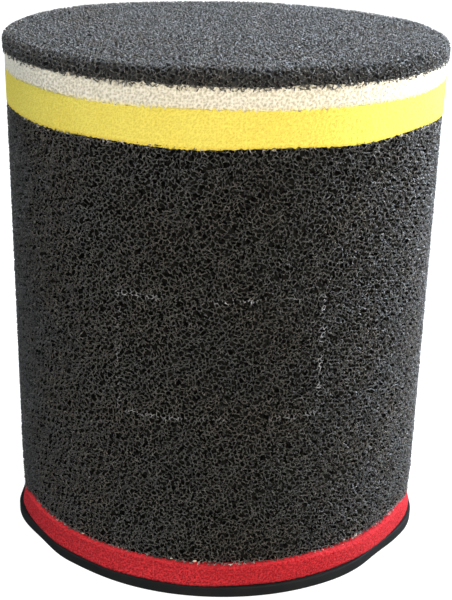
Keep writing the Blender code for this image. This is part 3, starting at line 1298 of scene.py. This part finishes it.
@dataclass
class SealingBase:
    """The red ring and the charcoal seal under the wall."""

    sizes: Measures
    bore: float = 43.0 * MM
    sunk: float = 0.5 * MM
    seal_reach: float = 0.962

    def build(self) -> None:
        """Builds both rings."""
        sizes = self.sizes
        red_low = sizes.boundary("base_seal_ring", "base_soft_ring") - self.sunk
        red_high = sizes.boundary("base_soft_ring", "base_glue_ring")
        FineBand(
            "base_soft_ring",
            RED_FOAM,
            sizes.radius("base_soft_ring") + 0.35 * MM,
            red_low,
            red_high,
            bore=self.bore,
            pore_pitch=0.7 * MM,
            pore_depth=0.2 * MM,
            lower_edge=Outline(seed=91, ragged=0.05 * MM),
            upper_edge=Outline(seed=93, ragged=0.06 * MM, slow=0.2 * MM),
            swell=0.2 * MM,
            corner=0.5 * MM,
            foot_reach=0.948,
            seed=14,
        ).build()
        self.build_seal(red_low)

    def build_seal(self, top: float) -> None:
        """Builds the seal: smooth, square cut, a little out of round."""
        radius = self.sizes.radius("base_seal_ring") - 0.25 * MM
        edge = 0.5 * MM
        turn = np.linspace(math.pi / 2, 0, 4)
        upper = [(radius - edge + edge * math.cos(a), top - edge + edge * math.sin(a)) for a in turn]
        lower = [(radius - edge + edge * math.cos(a), edge - edge * math.sin(a)) for a in turn[::-1]]
        side = [(radius, h) for h in spread(top - edge, edge, 0.5 * MM)[1:-1]]
        bore = [(self.bore, h) for h in spread(0.0, top, 0.9 * MM)]
        outline = np.array([(radius - 4 * MM, top)] + upper + side + lower + [(radius - 4 * MM, 0.0)] + bore)
        steps = 480
        points, angle = turned_vertices(outline, steps)
        outer = np.clip((outline[:, 0] - self.bore) / (radius - self.bore), 0, 1)[None, :]
        out_of_round = wave_round(angle, (3, 9), 0.12 * MM, 95)
        for mark in KNIFE_MARKS:
            away = np.angle(np.exp(1j * (angle - math.pi + math.radians(mark.bearing))))
            out_of_round += mark.height * np.exp(-((np.degrees(away) / mark.width) ** 2))
        out_of_round = out_of_round[:, None] * outer
        points[..., :2] *= (1 + out_of_round / radius)[..., None]
        points = FOOT.press(points, self.seal_reach)
        faces = turned_faces(steps, len(outline), True)
        made = add_piece("base_seal_ring_foam", points.reshape(-1, 3), faces, ELEMENT)
        made.data.set_sharp_from_angle(angle=math.radians(50))
        dress(made, SEAL_FOAM, ("base_seal_ring",))


@dataclass
class GlueLine:
    """A film of dried glue between two plies, seen only where beads of it were squeezed out."""

    name: str
    level: float
    outer: float
    inner: float
    thickness: float = 0.5 * MM
    reach: float = 0.75 * MM
    setback: float = 1.05 * MM
    seed: int = 101

    def build(self) -> None:
        """Builds a lumpy ring whose edge comes out to the surface in places."""
        steps = 720
        mid = (self.outer + self.inner) / 2
        rim = spread(self.level + self.thickness / 2, self.level - self.thickness / 2, 0.12 * MM)
        bulge = 0.18 * MM * np.sin((rim - self.level) / self.thickness * math.pi + math.pi / 2)
        points_out = [(self.outer + b, h) for b, h in zip(bulge, rim)]
        outline = np.array(points_out + [(self.inner, rim[-1]), (self.inner, rim[0])])
        points, angle = turned_vertices(outline, steps)
        lumps = wave_round(angle, (18, 130), 1.0, self.seed)
        push = (smooth_step(lumps, 0.9, 2.2) * self.reach - self.setback)[:, None]
        outside = (outline[:, 0] > mid)[None, :]
        grow = np.where(outside, push, 0.0)
        points[..., 0] += grow * np.sin(angle)[:, None]
        points[..., 1] += grow * np.cos(angle)[:, None]
        points = FOOT.press(points)
        faces = turned_faces(steps, len(outline), True)
        made = add_piece(self.name + "_beads", points.reshape(-1, 3), faces, ELEMENT)
        dress(made, GLUE, (self.name,))


@dataclass
class SeamGlue:
    """The film of glue in the wall's upright seam, its outer edge sunk between the struts."""

    outer: float
    inner: float
    low: float
    high: float
    thickness: float = 0.5 * MM
    setback: float = 1.5 * MM
    reach: float = 0.8 * MM

    def build(self) -> None:
        """Builds an upright film at the back whose outer edge comes out unevenly."""
        heights = spread(self.low, self.high, 0.4 * MM)
        lumps = wave_round(heights / (self.high - self.low) * math.pi, (12, 90), 1.0, 105)
        edge = self.outer - self.setback + self.reach * smooth_step(lumps, 0.6, 2.0)
        half = self.thickness / 2
        points = np.empty((len(heights), 4, 3))
        points[:, :, 0] = np.array([half, -half, -half, half])
        points[:, 0, 1] = points[:, 1, 1] = edge
        points[:, 2:, 1] = self.inner
        points[..., 2] = heights[:, None]
        level = np.arange(len(heights) - 1)[:, None] * 4
        sides = [level + np.array([k, k + 4, (k + 1) % 4 + 4, (k + 1) % 4]) for k in range(4)]
        ends = [np.array([[0, 1, 2, 3]]), np.array([[3, 2, 1, 0]]) + (len(heights) - 1) * 4]
        faces = [np.concatenate(sides), *ends]
        made = add_piece("seam_glue_strip_film", points.reshape(-1, 3), faces, ELEMENT, smooth=False)
        dress(made, GLUE, ("seam_glue_strip",))


@dataclass
class InnerPly:
    """One of the wall's hidden plies: a rolled sheet of finer foam, seen from the bore."""

    name: str
    finish: FineFoamFinish
    outer: float
    inner: float
    low: float
    high: float
    seed: int
    pitch: float = 0.78 * MM
    pore_pitch: float = 1.9 * MM
    pore_depth: float = 0.25 * MM

    def build(self) -> None:
        """Builds the ply, with its pores pressed into the side towards the bore."""
        heights = spread(self.low, self.high, self.pitch)
        outline = np.array([(self.outer, self.high), (self.outer, self.low)] + [(self.inner, h) for h in heights])
        steps = round(FULL_TURN * self.inner / self.pitch)
        points, angle = turned_vertices(outline, steps)
        around = np.repeat(angle[:, None], len(outline), axis=1)
        height = np.repeat(outline[None, :, 1], steps, axis=0)
        distance = pore_distance(around * self.inner, height, FULL_TURN * self.inner, self.pore_pitch, self.seed)
        bore_side = (outline[:, 0] < (self.outer + self.inner) / 2)[None, :]
        pore = (1 - smooth_step(distance, 0.16, 0.46)) * bore_side
        push = (pore * self.pore_depth)[..., None]
        away = points / np.hypot(points[..., 0], points[..., 1])[..., None]
        away[..., 2] = 0
        points += away * push
        faces = turned_faces(steps, len(outline), True)
        made = add_piece(self.name + "_foam", points.reshape(-1, 3), faces, ELEMENT)
        made.data.set_sharp_from_angle(angle=math.radians(60))
        # The pore mask also darkens the pores as painted shade.
        paint(made, "pore", pore.ravel())
        paint(made, "edge", np.zeros(points[..., 0].size))
        dress(made, self.finish, (self.name,))


@dataclass
class HiddenWall:
    """What lies inside the black sleeve: the middle ply, the inner ply, and the glued seam."""

    sizes: Measures
    bore: float = 43.15 * MM
    glue_gap: float = 0.1 * MM
    glue_inset: float = 1 * MM

    def build(self) -> None:
        """Builds both plies and the three lines of glue."""
        sizes = self.sizes
        low, high = sizes.span("inner_fine_sleeve")
        outer = sizes.radius("top_coarse_disc")
        middle = sizes.radius("middle_medium_sleeve")
        inner = sizes.radius("inner_fine_sleeve")
        meeting = inner + 0.15 * MM
        InnerPly("middle_medium_sleeve", WHITE_FOAM, middle, meeting, low, high, 111, pitch=2.5 * MM).build()
        InnerPly("inner_fine_sleeve", YELLOW_FOAM, inner, self.bore, low, high, 112).build()
        glue_outer, glue_inner = outer - self.glue_gap, self.bore + self.glue_inset
        top = sum(sizes.span("top_glue_ring")) / 2
        GlueLine("top_glue_ring", top, glue_outer, glue_inner).build()
        foot = sum(sizes.span("base_glue_ring")) / 2
        GlueLine("base_glue_ring", foot, glue_outer, glue_inner, seed=103).build()
        SeamGlue(outer, glue_inner, *sizes.span("seam_glue_strip")).build()


@dataclass
class SupportCage:
    """The spot-welded wire cage inside the foam, with its pressed collar."""

    sizes: Measures
    nugget: float = 1.1 * MM
    upright_radius: float = 41.0 * MM
    hoop_radius: float = 38.3 * MM
    uprights: int = 10
    first_upright: float = 18

    def build(self) -> None:
        """Plates the wires and the collar, and puts a weld nugget at each crossing."""
        for name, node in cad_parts.items():
            if name.startswith("cage_"):
                node.data.materials.clear()
                dress(node, STEEL)
        rows = []
        for name in self.sizes.heights:
            if name.startswith("cage_hoop"):
                level = sum(self.sizes.span(name)) / 2
                step = 360 / self.uprights
                rows += [(level, math.radians(self.first_upright + step * k)) for k in range(self.uprights)]
        mesh = bpy.data.meshes.new("cage_weld_nuggets")
        built = bmesh.new()
        for level, angle in rows:
            middle = (self.upright_radius + self.hoop_radius) / 2
            place = Matrix.Translation((middle * math.cos(angle), middle * math.sin(angle), level))
            bmesh.ops.create_icosphere(built, subdivisions=2, radius=self.nugget, matrix=place)
        for face in built.faces:
            face.smooth = True
        built.to_mesh(mesh)
        built.free()
        piece = bpy.data.objects.new("cage_weld_nuggets", mesh)
        bpy.context.scene.collection.objects.link(piece)
        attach(piece, CAGE)
        dress(piece, STEEL)


# ---------------------------------------------------------------- studio


@dataclass(frozen=True)
class Lamp:
    """A square soft light aimed at the filter's middle: where it hangs, its side, power and colour."""

    name: str
    place: tuple[float, float, float]
    width: float
    watts: float
    colour: Colour

    def build(self, aim_height: float) -> None:
        """Hangs the lamp, aimed at the axis at the given height."""
        light = bpy.data.lights.new(self.name, "AREA")
        light.size = self.width
        light.energy = self.watts
        light.color = self.colour
        lamp = bpy.data.objects.new(self.name, light)
        lamp.location = self.place
        aim = Vector((0, 0, aim_height)) - Vector(self.place)
        lamp.rotation_euler = aim.to_track_quat("-Z", "Y").to_euler()
        bpy.context.scene.collection.objects.link(lamp)


LAMPS = (
    Lamp("side_panel", (0.72, 0.22, 0.32), 0.40, 11.2, (0.86, 0.98, 1.14)),
    Lamp("top_panel", (0.15, 0.45, 0.70), 0.60, 6.0, (0.84, 0.97, 1.14)),
    Lamp("front_fill", (0.38, -0.80, 0.46), 0.34, 7.9, (1.05, 0.94, 0.80)),
    Lamp("left_panel", (-0.84, -0.16, 0.30), 0.36, 3.3, (0.94, 1.0, 1.08)),
)


@dataclass
class Studio:
    """The floor, the lights and the camera.

    The eye's distance and height are in units of eye_unit, about the wall's radius. Angles are in
    degrees and the lens in millimetres.
    """

    height: float
    eye_unit: float = 62.6 * MM
    eye_distance: float = 5.454
    eye_height: float = 3.180
    look_down: float = 21.44
    look_aside: float = 0.29
    roll: float = 1.41
    lens: float = 70.26
    floor_size: float = 40.0
    floor_shade: float = 0.20
    floor_glow: float = 0.96
    sky: tuple[float, float] = (0.12, 0.76)
    sky_colour: Colour = (0.96, 1.0, 1.03)

    def build(self) -> None:
        """Sets up the whole studio."""
        self.floor()
        self.world()
        for lamp in LAMPS:
            lamp.build(self.height / 2)
        self.camera()

    def floor(self) -> None:
        """A pale floor."""
        bpy.ops.mesh.primitive_plane_add(size=self.floor_size, location=(0, 0, 0))
        floor = bpy.context.object
        floor.name = "studio_floor"
        material = bpy.data.materials.new("studio_floor")
        material.use_nodes = True
        shader = material.node_tree.nodes["Principled BSDF"]
        shader.inputs["Base Color"].default_value = (self.floor_shade, self.floor_shade, self.floor_shade, 1)
        shader.inputs["Roughness"].default_value = 1.0
        shader.inputs["Specular IOR Level"].default_value = 0.0
        shader.inputs["Emission Color"].default_value = (1, 1, 1, 1)
        shader.inputs["Emission Strength"].default_value = self.floor_glow
        floor.data.materials.append(material)
        floor.visible_diffuse = False
        floor.visible_glossy = False

    def world(self) -> None:
        """A white surrounding, brighter towards the right."""
        world = bpy.context.scene.world or bpy.data.worlds.new("studio")
        bpy.context.scene.world = world
        world.use_nodes = True
        background = world.node_tree.nodes["Background"]
        wires = Wiring(world.node_tree)
        sideways = wires.node("SeparateXYZ", {0: wires.node("TexCoord").outputs["Generated"]}).outputs["X"]
        world.node_tree.links.new(wires.ramp(sideways, -1.0, 1.0, *self.sky), background.inputs["Strength"])
        background.inputs["Color"].default_value = (*self.sky_colour, 1)
        bpy.context.scene.view_settings.view_transform = "Standard"

    def camera(self) -> None:
        """The camera, in front and above, tilted a little to one side."""
        data = bpy.data.cameras.new("camera")
        data.lens = self.lens
        camera = bpy.data.objects.new("camera", data)
        bpy.context.scene.collection.objects.link(camera)
        pitch, yaw, roll = (math.radians(x) for x in (self.look_down, self.look_aside, self.roll))
        ahead = Vector((math.sin(yaw) * math.cos(pitch), math.cos(yaw) * math.cos(pitch), -math.sin(pitch)))
        right = ahead.cross(Vector((0, 0, 1))).normalized()
        up = right.cross(ahead)
        across = right * math.cos(roll) + up * math.sin(roll)
        upward = up * math.cos(roll) - right * math.sin(roll)
        turn = Matrix((across, upward, -ahead)).transposed().to_4x4()
        place = Vector((0, -self.eye_distance, self.eye_height)) * self.eye_unit
        camera.matrix_world = Matrix.Translation(place) @ turn
        bpy.context.scene.camera = camera


def main() -> None:
    """Builds every sub-assembly in order and reports it."""
    sizes = Measures()
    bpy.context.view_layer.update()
    ClosedTop(sizes).build()
    LOG.info("closed top built")
    CoarseSleeve(sizes).build()
    HiddenWall(sizes).build()
    LOG.info("wall built")
    SealingBase(sizes).build()
    LOG.info("base built")
    SupportCage(sizes).build()
    LOG.info("cage built")
    Studio(height=sizes.span("top_coarse_disc")[1]).build()


if __name__ == "__main__":
    logging.basicConfig(level=logging.INFO, format="%(message)s")
    main()
